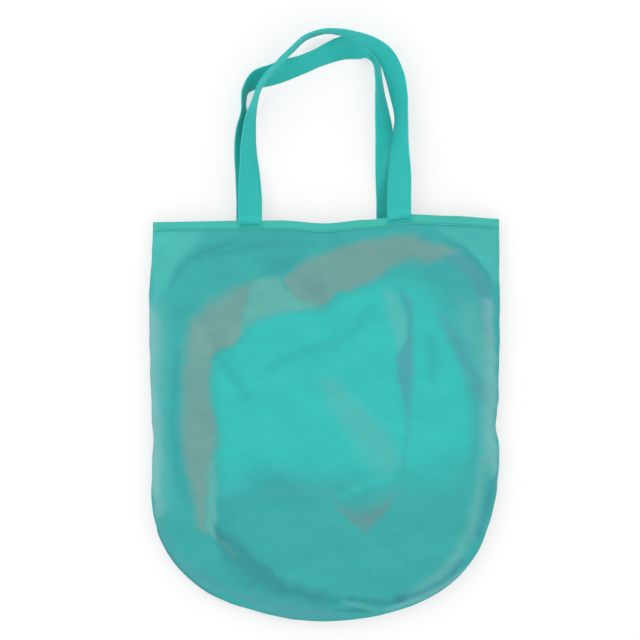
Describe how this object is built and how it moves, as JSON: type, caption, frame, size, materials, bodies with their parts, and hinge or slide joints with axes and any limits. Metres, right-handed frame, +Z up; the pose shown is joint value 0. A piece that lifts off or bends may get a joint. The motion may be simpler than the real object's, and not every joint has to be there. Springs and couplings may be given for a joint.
{
  "type": "mesh produce bag",
  "caption": "Soft mesh tote bag with a rounded bottom, bound mouth and strap handles, laid flat, for carrying and storing produce.",
  "frame": {"origin": "middle of the footprint of bag and handles, on the surface that the bag lies on", "axes": "+X across the bag's width, +Y from the rounded bottom towards the mouth and handles, +Z up out of the front panel"},
  "size_m": [0.365, 0.6174, 0.0413],
  "materials": {
    "net_cloth": "fine sheer net, slightly shiny, turquoise",
    "binding_tape": "folded woven tape, matte, turquoise",
    "strap_webbing": "soft flat woven strap, matte, turquoise",
    "sewing_thread": "polyester sewing thread, turquoise"
  },
  "bodies": {
    "bag": {"front_panel": "net_cloth", "back_panel": "net_cloth", "front_mouth_binding": "binding_tape", "back_mouth_binding": "binding_tape", "seam_binding": "binding_tape", "front_left_strap_end": "strap_webbing", "front_right_strap_end": "strap_webbing", "back_left_strap_end": "strap_webbing", "back_right_strap_end": "strap_webbing", "front_binding_stitch": "sewing_thread", "back_binding_stitch": "sewing_thread", "front_left_tack": "sewing_thread", "front_right_tack": "sewing_thread", "back_left_tack": "sewing_thread", "back_right_tack": "sewing_thread"},
    "front_loop": {"front_handle": "strap_webbing"},
    "back_loop": {"back_handle": "strap_webbing"}
  },
  "joints": [
    {"name": "front_handle_swing", "type": "hinge", "parent": "bag", "child": "front_loop", "pos_m": [0, 0.1115, 0.0222], "axis": [1, 0, 0], "range_deg": [0, 165]},
    {"name": "back_handle_swing", "type": "hinge", "parent": "bag", "child": "back_loop", "pos_m": [0, 0.1115, 0.0007], "axis": [1, 0, 0], "range_deg": [-170, 0]}
  ]
}
